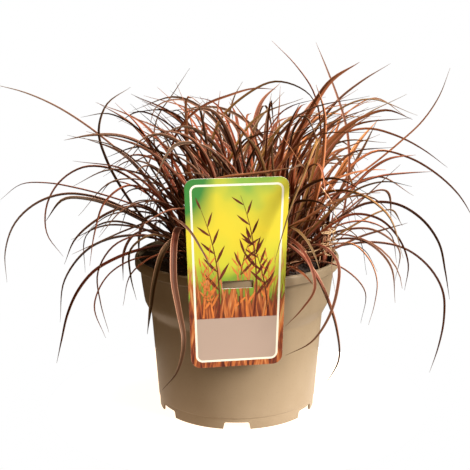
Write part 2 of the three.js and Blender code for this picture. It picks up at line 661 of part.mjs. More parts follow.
// The other leaves follow the clump's fountain: inner ones stand steep, outer ones lean out and droop.
function growLeaf(shoot, round, seed) {
  const { lerp, degToRad } = THREE.MathUtils;
  const draw = drawFrom(seed);
  const outward = Math.atan2(shoot.y - clump.y, shoot.x - clump.x);
  const layer = round / (freeRounds - 1);
  for (let attempt = 0; attempt < bladeTries; attempt += 1) {
    const spread = lerp(Math.PI, 1.5, Math.min(1, shoot.away * 1.2 * (1 - 0.5 * layer)));
    const azimuth = outward + spread * (draw() + draw() - 1) * 1.3;
    const upright = lerp(freeLean.outer, freeLean.inner, layer ** 0.7);
    const lean = degToRad(upright + freeLean.away * shoot.away + freeLean.jitter * (draw() - 0.5));
    const bend = degToRad(freeBend.least + freeBend.more * draw());
    const power = freePower.least + freePower.more * draw();
    const length = lerp(freeLength.outer, freeLength.inner, layer) + freeLength.more * draw() ** 1.5;
    const sweep = degToRad(freeSweep) * (draw() - 0.5);
    const rootZ = lerp(freeRoot.outer, freeRoot.inner, layer) + freeRoot.jitter * draw();
    const points = archingLine(rootPoint(shoot, azimuth, rootZ), azimuth, lean, bend, power, sweep, length);
    const steps = bend > 2 ? [0, 0.12, 0.34, 0.56, 0.78, 1] : [0, 0.14, 0.42, 0.72, 1];
    const half = lerp(bladeHalf.fine, bladeHalf.broad, draw() ** 1.2);
    const stations = stationsAlong(points, steps, half, (draw() - 0.5) * 1.4);
    const tip = stations[stations.length - 1].centre;
    const out = Math.hypot((tip.x - clump.x) / freeSpread.x, (tip.y - clump.y) / freeSpread.y);
    const highest = Math.max(...stations.map(({ centre }) => centre.z));
    if (out > 1 + freeSpread.stray * draw() ** 3) continue;
    if (stations.some(({ centre }) => hidesFront(centre))) continue;
    if (highest > freeTop.usual + freeTop.stray * draw() ** 2) continue;
    const stretches = stretchesOf(stations, shoot);
    if (bladeIsClear(stations, stretches, shoot)) {
      fileBlade(stretches);
      shoot.blades.push(stations);
      return;
    }
  }
}

for (const shoot of shoots) shoot.blades = [];
placedLeaves.forEach(([width, via], i) => placeLeaf(width, via, 500 + i));
for (let round = 0; round < freeRounds; round += 1) {
  shoots.forEach((shoot, i) => growLeaf(shoot, round, 1000 * (round + 2) + i));
}

function shootGeometry(shoot) {
  const body = sheathGeometry(sheath.footRadius, sheath.topRadius, sheath.footZ, sheath.topZ, shoot);
  let solid = solidFromGeometry(body);
  for (const stations of shoot.blades) solid = solid.add(bladeSolid(stations));
  return geometryFromSolid(solid);
}

const pottedSedge = new THREE.Group();
pottedSedge.add(namedMesh('nursery_pot', potGeometry(), potMaterial));
pottedSedge.add(namedMesh('potting_soil', soilGeometry(), soilMaterial));
const label = namedMesh('plant_label', labelGeometry(), labelMaterial);
label.position.copy(labelPlace);
label.rotation.z = labelYaw;
pottedSedge.add(label);
shoots.forEach((shoot, i) => {
  const number = String(i + 1).padStart(2, '0');
  pottedSedge.add(namedMesh(`sedge_shoot_${number}`, shootGeometry(shoot), leafMaterial));
});

export default pottedSedge;
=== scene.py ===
import math
import random
from functools import partial

import bmesh
import bpy
import numpy as np
from mathutils import Matrix, Vector
from mathutils.bvhtree import BVHTree


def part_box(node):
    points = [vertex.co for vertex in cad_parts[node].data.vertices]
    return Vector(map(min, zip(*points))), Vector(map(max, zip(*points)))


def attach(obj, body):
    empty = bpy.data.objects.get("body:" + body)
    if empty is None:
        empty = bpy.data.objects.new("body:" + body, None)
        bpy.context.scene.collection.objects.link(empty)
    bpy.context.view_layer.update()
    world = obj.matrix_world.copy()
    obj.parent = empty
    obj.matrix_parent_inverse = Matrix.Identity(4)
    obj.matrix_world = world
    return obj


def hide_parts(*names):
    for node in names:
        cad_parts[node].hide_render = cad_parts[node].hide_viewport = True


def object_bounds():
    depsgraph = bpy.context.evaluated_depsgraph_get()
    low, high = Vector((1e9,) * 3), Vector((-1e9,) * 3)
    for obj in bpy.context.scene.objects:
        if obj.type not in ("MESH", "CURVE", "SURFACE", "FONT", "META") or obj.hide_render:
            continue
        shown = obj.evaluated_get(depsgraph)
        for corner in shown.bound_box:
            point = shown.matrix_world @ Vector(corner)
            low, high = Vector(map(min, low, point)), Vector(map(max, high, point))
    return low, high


# A potted red hook sedge, dressed for its picture. Metres, +Z up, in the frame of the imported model.
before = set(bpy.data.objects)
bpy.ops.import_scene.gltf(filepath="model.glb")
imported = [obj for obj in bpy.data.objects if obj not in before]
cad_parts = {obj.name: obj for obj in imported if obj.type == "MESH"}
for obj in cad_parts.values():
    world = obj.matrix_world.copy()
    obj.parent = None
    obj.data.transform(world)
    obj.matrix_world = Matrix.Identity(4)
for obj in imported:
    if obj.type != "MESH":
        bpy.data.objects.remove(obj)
box_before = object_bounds()
bpy.ops.object.select_all(action="DESELECT")

# The camera stands 90 cm in front of the pot and a little above its leaves, and looks down 13 degrees.
# Its long lens keeps the pot's sides nearly upright.
camera_distance = 0.9
camera_height = 0.355
camera_pitch = math.radians(13.1)
bpy.ops.object.camera_add(
    location=(-0.0015, -camera_distance, camera_height),
    rotation=(math.pi / 2 - camera_pitch, 0, 0),
)
camera = bpy.context.object
camera.data.sensor_width = 36
camera.data.lens = 85
bpy.context.scene.camera = camera
bpy.context.scene.view_settings.view_transform = "Standard"

# The studio is white all round. One strong soft lamp stands at the right, a weak one fills the front,
# and a third hangs over the leaves and gives them their sheen. The left side is left dark.
pot_middle = Vector((0, 0, 0.13))


def soft_lamp(name, place, size, watts, colour):
    bpy.ops.object.light_add(type="AREA", location=place)
    lamp = bpy.context.object
    lamp.name = name
    lamp.data.shape = "DISK"
    lamp.data.size = size
    lamp.data.energy = watts
    lamp.data.color = colour
    lamp.rotation_euler = (pot_middle - Vector(place)).to_track_quat("-Z", "Y").to_euler()


def feed(tree, socket, value):
    """Links a socket to another one or gives it a plain value. A plain colour is three numbers."""
    if isinstance(value, bpy.types.NodeSocket):
        tree.links.new(value, socket)
    elif socket.type == "RGBA":
        socket.default_value = (*value, 1)
    else:
        socket.default_value = value


def set_up(tree, node, **settings):
    """Gives a node its settings, or feeds its socket where a setting names one."""
    for key, value in settings.items():
        if hasattr(node, key):
            setattr(node, key, value)
        else:
            feed(tree, node.inputs[key.replace("_", " ")], value)
    return node


def new_node(tree, kind, **settings):
    return set_up(tree, tree.nodes.new(kind), **settings)


soft_lamp("key_lamp", (1.19, -0.62, 0.76), 0.85, 81, (0.98, 0.98, 0.99))
soft_lamp("fill_lamp", (-0.3, -1.4, 0.8), 0.9, 5, (1, 0.69, 0.38))
soft_lamp("top_lamp", (0.35, 0.1, 1.4), 0.5, 34, (1, 0.97, 0.92))

studio = bpy.data.worlds.new("white_studio")
studio.use_nodes = True
bpy.context.scene.world = studio
air = studio.node_tree
for node in list(air.nodes):
    air.nodes.remove(node)
seen = new_node(air, "ShaderNodeBackground", Color=(1, 1, 1), Strength=1.0)
glow = new_node(air, "ShaderNodeBackground", Color=(1, 0.64, 0.32), Strength=0.1)
light_path = new_node(air, "ShaderNodeLightPath")
either = new_node(air, "ShaderNodeMixShader")
air.links.new(light_path.outputs["Is Camera Ray"], either.inputs[0])
air.links.new(glow.outputs[0], either.inputs[1])
air.links.new(seen.outputs[0], either.inputs[2])
new_node(air, "ShaderNodeOutputWorld", Surface=either.outputs[0])


# The floor is a round light table: a frosted white disc that glows, so that shadows stay faint, and that
# glows a little less in the middle, where the pot stands, which paints a faint shadow round the pot's foot.
def plain_material(name, base, roughness):
    material = bpy.data.materials.new(name)
    material.use_nodes = True
    tree = material.node_tree
    return material, tree, set_up(tree, tree.nodes["Principled BSDF"], Base_Color=base, Roughness=roughness)


def object_place(tree):
    return new_node(tree, "ShaderNodeTexCoord").outputs["Object"]


table_radius = 0.16
bpy.ops.mesh.primitive_circle_add(vertices=128, radius=table_radius, fill_type="NGON", location=(0, 0, 0))
floor = bpy.context.object
floor.name = "floor"
frosted_white, tree, shader = plain_material("frosted_white", (0.2, 0.2, 0.2), 0.8)
from_middle = new_node(tree, "ShaderNodeVectorMath", operation="LENGTH", Vector=object_place(tree))
# The glow dims towards the middle: a painted faint shadow round the pot's foot.
table_glow = new_node(tree, "ShaderNodeMapRange", From_Min=0.06, From_Max=table_radius)
set_up(tree, table_glow, Value=from_middle.outputs["Value"], To_Min=1.5, To_Max=1.6)
set_up(tree, shader, Emission_Color=(1, 0.8, 0.63), Emission_Strength=table_glow.outputs[0])
floor.data.materials.append(frosted_white)

# The nursery pot is one thin shell of taupe polypropylene, moulded in one shot: a notched skirt, a tapered
# body, a wider collar and a rolled lip, over a raised floor with drain holes.
mm = 0.001
pot_low, pot_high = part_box("nursery_pot")
pot_height = pot_high.z
lip_radius = max(*pot_high.xy, *(-pot_low.xy))
wall = 1.5 * mm
foot_radius = 65.5 * mm
floor_under = 6.5 * mm
floor_top = 8.1 * mm
skirt_top = 9.5 * mm
body_radius = 72 * mm
body_top = 83 * mm
collar_radius = 77.5 * mm
collar_foot = 92 * mm
collar_top_radius = 81 * mm
lip_foot = pot_height - 8.5 * mm
round_steps = 168


def arc(centre, radius, first, last, steps):
    """Points of radius and height on an arc, from one angle in degrees to another."""
    angles = [math.radians(first + (last - first) * i / steps) for i in range(steps + 1)]
    return [(centre[0] + radius * math.cos(a), centre[1] + radius * math.sin(a)) for a in angles]


def make_active(piece):
    bpy.ops.object.select_all(action="DESELECT")
    piece.select_set(True)
    bpy.context.view_layer.objects.active = piece


def into_object(name, points, edges=(), faces=()):
    """A new object of these points, alone selected and active."""
    mesh = bpy.data.meshes.new(name)
    mesh.from_pydata(points, edges, faces)
    mesh.update()
    piece = bpy.data.objects.new(name, mesh)
    bpy.context.collection.objects.link(piece)
    make_active(piece)
    return piece


def face_outward():
    """Turns all faces of the active piece outward and leaves edit mode."""
    bpy.ops.object.mode_set(mode="EDIT")
    bpy.ops.mesh.select_all(action="SELECT")
    bpy.ops.mesh.normals_make_consistent(inside=False)
    bpy.ops.object.mode_set(mode="OBJECT")


def spin_outline(name, outline, steps, closed):
    """Turns an outline of radius and height once about the pot's axis."""
    count = len(outline)
    edges = [(i, (i + 1) % count) for i in range(count if closed else count - 1)]
    piece = into_object(name, [(radius, 0, height) for radius, height in outline], edges)
    bpy.ops.object.mode_set(mode="EDIT")
    bpy.ops.mesh.select_all(action="SELECT")
    bpy.ops.mesh.spin(steps=steps, angle=2 * math.pi, center=(0, 0, 0), axis=(0, 0, 1))
    bpy.ops.mesh.select_all(action="SELECT")
    bpy.ops.mesh.remove_doubles(threshold=1e-6)
    face_outward()
    return piece


lip_round = 1.9 * mm
pot_outline = [
    *arc((foot_radius - 0.5 * mm, 0.5 * mm), 0.5 * mm, -90, 0, 3),
    (foot_radius + 0.3 * mm, skirt_top - 0.4 * mm),
    *arc((foot_radius + 0.5 * mm, skirt_top + 0.5 * mm), 0.5 * mm, -40, 0, 2),
    (foot_radius + 1.4 * mm, skirt_top + 6 * mm),
    (foot_radius + 3.4 * mm, skirt_top + 33 * mm),
    (body_radius - 0.3 * mm, body_top - 3 * mm),
    (body_radius + 0.2 * mm, body_top - 0.6 * mm),
    (body_radius + 1.1 * mm, body_top + mm),
    (collar_radius - 1.2 * mm, collar_foot - 1.7 * mm),
    (collar_radius - 0.3 * mm, collar_foot + 0.3 * mm),
    (collar_radius + 0.4 * mm, collar_foot + 4 * mm),
    (collar_radius + 1.9 * mm, collar_foot + 15 * mm),
    (collar_top_radius - 0.1 * mm, lip_foot - 1.2 * mm),
    (collar_top_radius + 0.3 * mm, lip_foot - 0.2 * mm),
    (collar_top_radius + 1.2 * mm, lip_foot + 0.2 * mm),
    *arc((lip_radius - 1.2 * mm, lip_foot + 1.5 * mm), 1.2 * mm, -80, 0, 4),
    *arc((lip_radius - lip_round, pot_height - lip_round), lip_round, 0, 120, 7),
    (lip_radius - 3.6 * mm, pot_height - 1.6 * mm),
    (collar_top_radius - wall, lip_foot),
    (collar_radius - wall + 0.4 * mm, collar_foot + 3 * mm),
    (collar_radius - wall - 0.6 * mm, collar_foot - 0.6 * mm),
    (body_radius - wall, body_top - mm),
    (foot_radius - wall + 2.2 * mm, floor_top + 12 * mm),
    *arc((foot_radius - wall - 2 * mm, floor_top + 2.4 * mm), 2.4 * mm, -10, -90, 4),
    (30 * mm, floor_top),
    (0, floor_top),
    (0, floor_under - 0.8 * mm),
    (2.4 * mm, floor_under - 0.8 * mm),
    (3 * mm, floor_under),
    (30 * mm, floor_under),
    (foot_radius - wall - 1.2 * mm, floor_under),
    (foot_radius - wall, floor_under - 1.2 * mm),
    (foot_radius - wall, 0.4 * mm),
    (foot_radius - wall + 0.4 * mm, 0),
]
pot = spin_outline("pot_shell", pot_outline, round_steps, True)


# Six notches in the skirt let water run out from under the pot, and six holes drain its floor. Both are cut
# out of the shell, the notches with round edges and a little wider at the foot.
def apply_modifier(piece, kind, **settings):
    modifier = piece.modifiers.new(kind.lower(), kind)
    for key, value in settings.items():
        setattr(modifier, key, value)
    bpy.context.view_layer.objects.active = piece
    bpy.ops.object.modifier_apply(modifier=modifier.name)


notch_count = 6
notch_reach = 14 * mm
notch_width = 22 * mm
notch_height = 6 * mm
notch_corner = 1.3 * mm
drain_radius = 5 * mm
drain_ring = 44 * mm
cutters = []
for i in range(notch_count):
    turn = math.tau * i / notch_count
    bpy.ops.mesh.primitive_cube_add(size=1, location=(0, 0, 0))
    notch = bpy.context.object
    bpy.ops.object.mode_set(mode="EDIT")
    bpy.ops.transform.resize(value=(notch_reach, notch_width, 2 * notch_height))
    bpy.ops.object.mode_set(mode="OBJECT")
    for corner in notch.data.vertices:
        corner.co.y *= 0.9 if corner.co.z > 0 else 1.1
    apply_modifier(notch, "BEVEL", width=notch_corner, segments=3, limit_method="ANGLE", angle_limit=1.2)
    spun = Matrix.Rotation(turn - math.pi / 2, 4, "Z")
    notch.data.transform(spun @ Matrix.Translation((foot_radius, 0, 0)))
    cutters.append(notch)
    bpy.ops.mesh.primitive_cylinder_add(
        vertices=32,
        radius=drain_radius,
        depth=8 * mm,
        location=(drain_ring * math.cos(turn), drain_ring * math.sin(turn), floor_under),
    )
    cutters.append(bpy.context.object)
for cutter in cutters:
    apply_modifier(pot, "BOOLEAN", operation="DIFFERENCE", solver="EXACT", object=cutter)
    bpy.data.objects.remove(cutter)
make_active(pot)
bpy.ops.object.shade_smooth_by_angle(angle=math.radians(38))


# The plastic is matt with a fine spark-eroded grain, faint vertical flow marks and a little dust low down.
# Inside, the wall between the soil and the lip is painted dark, as painted shade under the rim.
def math_node(tree, operation, *values, clamp=False):
    """One sum on sockets or plain numbers."""
    node = new_node(tree, "ShaderNodeMath", operation=operation, use_clamp=clamp)
    for place, value in enumerate(values):
        feed(tree, node.inputs[place], value)
    return node.outputs[0]


def blend_colour(tree, share, first, second):
    """Two colours mixed by a share. A colour is a socket or a plain tuple."""
    node = new_node(tree, "ShaderNodeMix", data_type="RGBA")
    for place, value in ((0, share), (6, first), (7, second)):
        feed(tree, node.inputs[place], value)
    return node.outputs[2]


def ramp(tree, value, stops):
    """A colour ramp through stops of place and colour."""
    node = tree.nodes.new("ShaderNodeValToRGB")
    band = node.color_ramp
    while len(band.elements) < len(stops):
        band.elements.new(0.5)
    for element, (place, colour) in zip(band.elements, stops):
        element.position = place
        element.color = (*colour, 1)
    feed(tree, node.inputs[0], value)
    return node.outputs[0]


def noise_at(tree, vector, scale, detail=3, roughness=0.55):
    settings = {"Vector": vector, "Scale": scale, "Detail": detail, "Roughness": roughness}
    return new_node(tree, "ShaderNodeTexNoise", **settings).outputs[0]


def stretched(tree, vector, scale):
    return new_node(tree, "ShaderNodeMapping", Vector=vector, Scale=scale).outputs[0]


def bump(tree, shader, height, strength, distance):
    node = new_node(tree, "ShaderNodeBump", Strength=strength, Distance=distance, Height=height)
    set_up(tree, shader, Normal=node.outputs[0])


dust_height = 0.05
inner_slope = 0.1186
inner_radius = 0.0658
inner_shade_height = 0.1145
inner_shade_reach = 0.014


def moulded_plastic():
    material, tree, shader = plain_material("taupe_polypropylene", (0.36, 0.26, 0.16), 0.46)
    maths, blend = partial(math_node, tree), partial(blend_colour, tree)
    place = object_place(tree)
    cloud = noise_at(tree, place, 14, 4)
    flow = noise_at(tree, stretched(tree, place, (60, 60, 4)), 1.0, 3)
    fleck = noise_at(tree, place, 700, 1)
    base = ramp(tree, cloud, [(0.3, (0.162, 0.116, 0.067)), (0.7, (0.184, 0.134, 0.08))])
    base = blend(maths("MULTIPLY", flow, 0.16), base, (0.23, 0.175, 0.112))
    dark_fleck = maths("MULTIPLY", maths("LESS_THAN", fleck, 0.3), 0.35)
    base = blend(dark_fleck, base, (0.12, 0.09, 0.055))
    x, y, z = new_node(tree, "ShaderNodeSeparateXYZ", Vector=place).outputs
    low = maths("SUBTRACT", 1.0, maths("DIVIDE", z, dust_height), clamp=True)
    dust = maths("MULTIPLY", low, maths("MULTIPLY", noise_at(tree, place, 60, 5), 0.5))
    base = blend(dust, base, (0.24, 0.19, 0.13))
    # The inner wall just above the compost is darkened to near black: painted shade inside the pot.
    away = maths("SQRT", maths("MULTIPLY_ADD", x, x, maths("MULTIPLY", y, y)))
    inner_face = maths("LESS_THAN", away, maths("MULTIPLY_ADD", z, inner_slope, inner_radius))
    in_band = maths("COMPARE", z, inner_shade_height, inner_shade_reach)
    inner_shade_mottle = maths("MULTIPLY_ADD", noise_at(tree, place, 90, 4), 0.4, 0.62)
    painted_inner_shade = maths("MULTIPLY", maths("MULTIPLY", inner_face, in_band), inner_shade_mottle, clamp=True)
    base = blend(painted_inner_shade, base, (0.022, 0.013, 0.008))
    rough = maths("MULTIPLY_ADD", noise_at(tree, place, 45, 4), 0.16, 0.38)
    set_up(tree, shader, Base_Color=base, Roughness=rough, Specular_IOR_Level=0.14)
    flow_height = maths("MULTIPLY", flow, 0.8)
    grain = maths("MULTIPLY_ADD", noise_at(tree, place, 1500, 2), 0.35, flow_height)
    bump(tree, shader, grain, 0.35, 0.0004)
    return material


pot.data.materials.append(moulded_plastic())
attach(pot, "root")
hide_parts("nursery_pot")

# The compost is peat and fine bark that fills the pot to a little below the lip. It is poured in, so its
# top is crumbly and a little mounded.
soil_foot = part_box("potting_soil")[0].z + 0.1 * mm
soil_radius = collar_top_radius - wall - 1.4 * mm
soil_edge = 116.2 * mm
soil_mound = 2.4 * mm
soil_rings = 44
soil_outline = [
    (0, soil_foot),
    (foot_radius - wall - 2.6 * mm, soil_foot),
    (body_radius - wall - 0.7 * mm, body_top),
    (collar_radius - wall - 1.6 * mm, collar_foot),
]
for i in range(soil_rings + 1):
    away = 1 - i / soil_rings
    soil_outline.append((soil_radius * away, soil_edge + soil_mound * (1 - away**2)))
soil = spin_outline("compost_bed", soil_outline, 150, False)
upper = [
    point.index for point in soil.data.vertices
    if point.co.z > soil_edge - 0.2 * mm and point.co.xy.length < soil_radius - mm
]
soil.vertex_groups.new(name="top").add(upper, 1, "REPLACE")
for size, height in ((0.011, 1.6 * mm), (0.0042, 1.7 * mm), (0.0016, 0.8 * mm)):
    clouds = bpy.data.textures.new("crumb_size", "CLOUDS")
    clouds.noise_scale = size
    apply_modifier(soil, "DISPLACE", texture=clouds, texture_coords="LOCAL", direction="Z", strength=height,
                   mid_level=0.5, vertex_group="top")
bpy.ops.object.shade_smooth()


def crumbly_compost(name, dark, light):
    material, tree, shader = plain_material(name, dark, 0.9)
    place = object_place(tree)
    crumb = noise_at(tree, place, 260, 5, 0.7)
    fibre = noise_at(tree, stretched(tree, place, (90, 900, 300)), 1.0, 2)
    pale = math_node(tree, "MULTIPLY", math_node(tree, "GREATER_THAN", fibre, 0.66), 0.5)
    base = blend_colour(tree, pale, ramp(tree, crumb, [(0.35, dark), (0.62, light)]), (0.16, 0.085, 0.04))
    set_up(tree, shader, Base_Color=base)
    bump(tree, shader, noise_at(tree, place, 900, 4, 0.7), 0.8, 0.0012)
    return material


soil.data.materials.append(crumbly_compost("dark_peat", (0.012, 0.007, 0.005), (0.05, 0.028, 0.017)))
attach(soil, "root")
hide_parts("potting_soil")

# Loose crumbs of peat and longer chips of bark lie on the compost. Each is a rough lump, sunk a little into
# the bed where it fell.
crumb_count = 1500
chip_share = 0.16
crumb_draw = random.Random(5)
soil_surface = BVHTree.FromObject(soil, bpy.context.evaluated_depsgraph_get())


def soil_height(x, y):
    hit = soil_surface.ray_cast(Vector((x, y, 0.3)), Vector((0, 0, -1)))
    return hit[0].z if hit[0] else soil_edge


bpy.ops.mesh.primitive_ico_sphere_add(subdivisions=1, radius=1, location=(0, 0, 0))
seed_lump = bpy.context.object
lump_points = np.array([v.co[:] for v in seed_lump.data.vertices])
lump_faces = [tuple(face.vertices) for face in seed_lump.data.polygons]
bpy.data.objects.remove(seed_lump)
crumb_points, crumb_faces = [], []
for i in range(crumb_count):
    away = (soil_radius - 2.5 * mm) * math.sqrt(crumb_draw.random())
    turn = math.tau * crumb_draw.random()
    x, y = away * math.cos(turn), away * math.sin(turn)
    size = (0.5 + 1.5 * crumb_draw.random() ** 3) * mm
    is_chip = crumb_draw.random() < chip_share
    stretch = (2.2, 0.8, 0.4) if is_chip else (1, 0.8 + 0.4 * crumb_draw.random(), 0.7)
    spun = Matrix.Rotation(math.tau * crumb_draw.random(), 3, "Z")
    tipped = Matrix.Rotation(0.7 * crumb_draw.random(), 3, "X")
    rough_lump = lump_points * (1 + 0.3 * np.array([[crumb_draw.random() - 0.5] for _ in lump_points]))
    placed = (rough_lump * np.array(stretch) * size) @ np.array(spun @ tipped).T
    placed += (x, y, soil_height(x, y) + 0.25 * size)
    start = len(crumb_points)
    crumb_points.extend(map(tuple, placed))
    crumb_faces.extend(tuple(start + corner for corner in face) for face in lump_faces)
crumbs = into_object("compost_crumbs", crumb_points, (), crumb_faces)
crumbs.data.materials.append(crumbly_compost("bark_crumbs", (0.018, 0.01, 0.007), (0.085, 0.045, 0.026)))
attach(crumbs, "root")

# The plant label is a die-cut card of white polypropylene, 0.8 mm thick, with round corners. A slot takes
# the pot's lip, and the tongue cut from the slot hooks over the lip into the pot.
label_yaw = math.radians(10)
card_thickness = 0.8 * mm
card_top_width = 80 * mm
card_foot_width = 71 * mm
card_low, card_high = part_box("plant_label")
card_foot = card_low.z
card_top = card_high.z
card_corner = 7.5 * mm
slot_width = 24 * mm
slot_height = 6 * mm
slot_offset = 0.6 * mm
lip_gap = 0.3 * mm
slot_top = pot_height + lip_gap
tongue_width = 12.5 * mm
tongue_offset = 4.6 * mm
tongue_reach = 9.3 * mm
tongue_drop = 8 * mm
lip_reach = 85 * mm
card_distance = lip_reach + lip_gap + card_thickness / 2
card_middle = Matrix.Translation((0, -card_distance / math.cos(label_yaw), 0))
card_place = card_middle @ Matrix.Rotation(label_yaw, 4, "Z")

bpy.ops.mesh.primitive_plane_add(size=1, location=(0, 0, 0))
card = bpy.context.object
card.name = "label_card"
for corner in card.data.vertices:
    width, height = (card_top_width, card_top) if corner.co.y > 0 else (card_foot_width, card_foot)
    corner.co = (corner.co.x * width, 0, height)
bpy.ops.object.mode_set(mode="EDIT")
bpy.ops.mesh.select_all(action="SELECT")
bpy.ops.mesh.bevel(offset=card_corner, segments=9, affect="VERTICES")
bpy.ops.mesh.select_all(action="SELECT")
bpy.ops.mesh.extrude_region_move(TRANSFORM_OT_translate={"value": (0, card_thickness, 0)})
bpy.ops.mesh.select_all(action="SELECT")
bpy.ops.transform.translate(value=(0, -card_thickness / 2, 0))
face_outward()

bpy.ops.mesh.primitive_cube_add(size=1, location=(0, 0, 0))
slot_cutter = bpy.context.object
slot_place = Matrix.Translation((slot_offset, 0, slot_top - slot_height / 2))
slot_cutter.data.transform(slot_place @ Matrix.Diagonal((slot_width, 4 * mm, slot_height, 1)))
apply_modifier(slot_cutter, "BEVEL", width=0.8 * mm, segments=3, limit_method="ANGLE")
apply_modifier(card, "BOOLEAN", operation="DIFFERENCE", solver="EXACT", object=slot_cutter)
bpy.data.objects.remove(slot_cutter)

bend = 1.6 * mm
bend_centre = (tongue_reach - bend, slot_top + card_thickness - bend)
tongue_line = [
    (0, slot_top + card_thickness),
    *arc(bend_centre, bend, 90, 0, 5),
    (tongue_reach, slot_top - tongue_drop),
    (tongue_reach - card_thickness, slot_top - tongue_drop),
    *arc(bend_centre, bend - card_thickness, 0, 90, 5),
    (0, slot_top),
]
tongue_points = [(tongue_offset - tongue_width / 2, y, z) for y, z in tongue_line]
tongue = into_object("tongue", tongue_points, (), [tuple(range(len(tongue_line)))])
bpy.ops.object.mode_set(mode="EDIT")
bpy.ops.mesh.select_all(action="SELECT")
bpy.ops.mesh.extrude_region_move(TRANSFORM_OT_translate={"value": (tongue_width, 0, 0)})
face_outward()
apply_modifier(card, "BOOLEAN", operation="UNION", solver="EXACT", object=tongue)
bpy.data.objects.remove(tongue)
apply_modifier(card, "BEVEL", width=0.12 * mm, segments=2, limit_method="ANGLE", angle_limit=1.0)
printed_side = card.data.uv_layers.new(name="print")
for loop in card.data.loops:
    x, _, z = card.data.vertices[loop.vertex_index].co
    printed_side.data[loop.index].uv = (x / card_top_width + 0.5, (z - card_foot) / (card_top - card_foot))
card.data.transform(card_place)


# The print is a soft green and yellow ground over a meadow of slanting russet and orange strokes, a thin
# white frame line with round corners, and a plain taupe panel at the foot.
panel_share = 0.265
side_margin = 4.7 * mm
end_margin = 5.2 * mm
round_line = 4.6 * mm
half_line = 0.8 * mm


def slanted_strokes(tree, uv, turn, seed):
    """Noise drawn out along a line that leans from upright by this turn."""
    spun = new_node(tree, "ShaderNodeMapping", Vector=uv, Rotation=(0, 0, turn), Location=(seed, seed, 0))
    return noise_at(tree, stretched(tree, spun.outputs[0], (30, 3.4, 1)), 1.0, 3, 0.62)


def share_facing_front(tree):
    """How far a face looks the way that the printed side looks."""
    normal = new_node(tree, "ShaderNodeNewGeometry").outputs["True Normal"]
    dot = new_node(tree, "ShaderNodeVectorMath", operation="DOT_PRODUCT", Vector=normal)
    dot.inputs[1].default_value = card_place.to_3x3() @ Vector((0, -1, 0))
    return dot.outputs["Value"]


def printed_card():
    material, tree, shader = plain_material("printed_card", (0.8, 0.8, 0.8), 0.34)
    maths, blend = partial(math_node, tree), partial(blend_colour, tree)
    uv = new_node(tree, "ShaderNodeUVMap", uv_map="print").outputs[0]
    across, up, _ = new_node(tree, "ShaderNodeSeparateXYZ", Vector=uv).outputs
    cloud = noise_at(tree, stretched(tree, uv, (1, 1.6, 1)), 2.3, 2)
    soft = maths("ADD", up, maths("MULTIPLY", maths("SUBTRACT", cloud, 0.5), 0.42))
    ground = ramp(tree, soft, [
        (0.3, (0.12, 0.17, 0.022)),
        (0.42, (0.13, 0.22, 0.022)),
        (0.54, (0.38, 0.38, 0.028)),
        (0.72, (0.5, 0.4, 0.025)),
        (0.88, (0.42, 0.38, 0.029)),
        (1.0, (0.16, 0.29, 0.045)),
    ])
    leftward = maths("SUBTRACT", 0.3, across, clamp=True)
    upward = maths("SUBTRACT", up, 0.72, clamp=True)
    corner = maths("MULTIPLY", maths("MULTIPLY", leftward, upward), 34.0, clamp=True)
    ground = blend(corner, ground, (0.03, 0.15, 0.028))
    strokes = maths("MAXIMUM", slanted_strokes(tree, uv, 0.3, 1.7), slanted_strokes(tree, uv, -0.24, 5.3))
    meadow = ramp(tree, strokes, [
        (0.42, (0.05, 0.01, 0.007)),
        (0.52, (0.14, 0.03, 0.012)),
        (0.6, (0.32, 0.09, 0.022)),
        (0.68, (0.42, 0.19, 0.07)),
        (0.78, (0.2, 0.16, 0.03)),
    ])
    ragged = maths("MULTIPLY", maths("SUBTRACT", strokes, 0.5), 1.1)
    growth = maths("SUBTRACT", maths("ADD", 0.44, ragged), up)
    ground = blend(maths("MULTIPLY", growth, 14.0, clamp=True), ground, meadow)
    half_height = (card_top - card_foot) / 2
    middle_x = maths("MULTIPLY", maths("SUBTRACT", across, 0.5), card_top_width)
    middle_z = maths("MULTIPLY", maths("SUBTRACT", up, 0.5), 2 * half_height)
    foot_half = card_foot_width / 2 - side_margin
    half_width = maths("MULTIPLY_ADD", up, (card_top_width - card_foot_width) / 2, foot_half)
    over_x = maths("SUBTRACT", maths("ABSOLUTE", middle_x), maths("SUBTRACT", half_width, round_line))
    over_z = maths("SUBTRACT", maths("ABSOLUTE", middle_z), half_height - end_margin - round_line)
    past_x = maths("MAXIMUM", over_x, 0.0)
    past_z = maths("MAXIMUM", over_z, 0.0)
    squares = maths("ADD", maths("MULTIPLY", past_x, past_x), maths("MULTIPLY", past_z, past_z))
    outer = maths("SQRT", squares)
    inner = maths("MINIMUM", maths("MAXIMUM", over_x, over_z), 0.0)
    edge = maths("SUBTRACT", maths("ADD", outer, inner), round_line)
    on_line = maths("LESS_THAN", maths("ABSOLUTE", edge), half_line)
    inside = maths("LESS_THAN", edge, 0.0)
    in_panel = maths("MULTIPLY", inside, maths("LESS_THAN", up, panel_share))
    ground = blend(in_panel, ground, (0.3, 0.222, 0.172))
    ground = blend(on_line, ground, (0.6, 0.58, 0.46))
    front = maths("GREATER_THAN", share_facing_front(tree), 0.7)
    ground = blend(front, (0.6, 0.58, 0.52), ground)
    set_up(tree, shader, Base_Color=ground, Coat_Weight=0.25, Coat_Roughness=0.12)
    bump(tree, shader, noise_at(tree, stretched(tree, uv, (400, 800, 1)), 1.0, 2), 0.05, 0.0002)
    return material


card.data.materials.append(printed_card())
make_active(card)
bpy.ops.object.shade_smooth_by_angle(angle=math.radians(18))
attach(card, "root")
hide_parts("plant_label")


# The motif on the label is a plain row of twigs with long narrow leaves in russet inks, a hair's breadth
# proud of the card. It keeps inside the frame line and off the slot.
panel_top = card_foot + panel_share * (card_top - card_foot)
ink_lift = 0.04 * mm
ink_side_margin = 6 * mm
ink_top_margin = 6.6 * mm


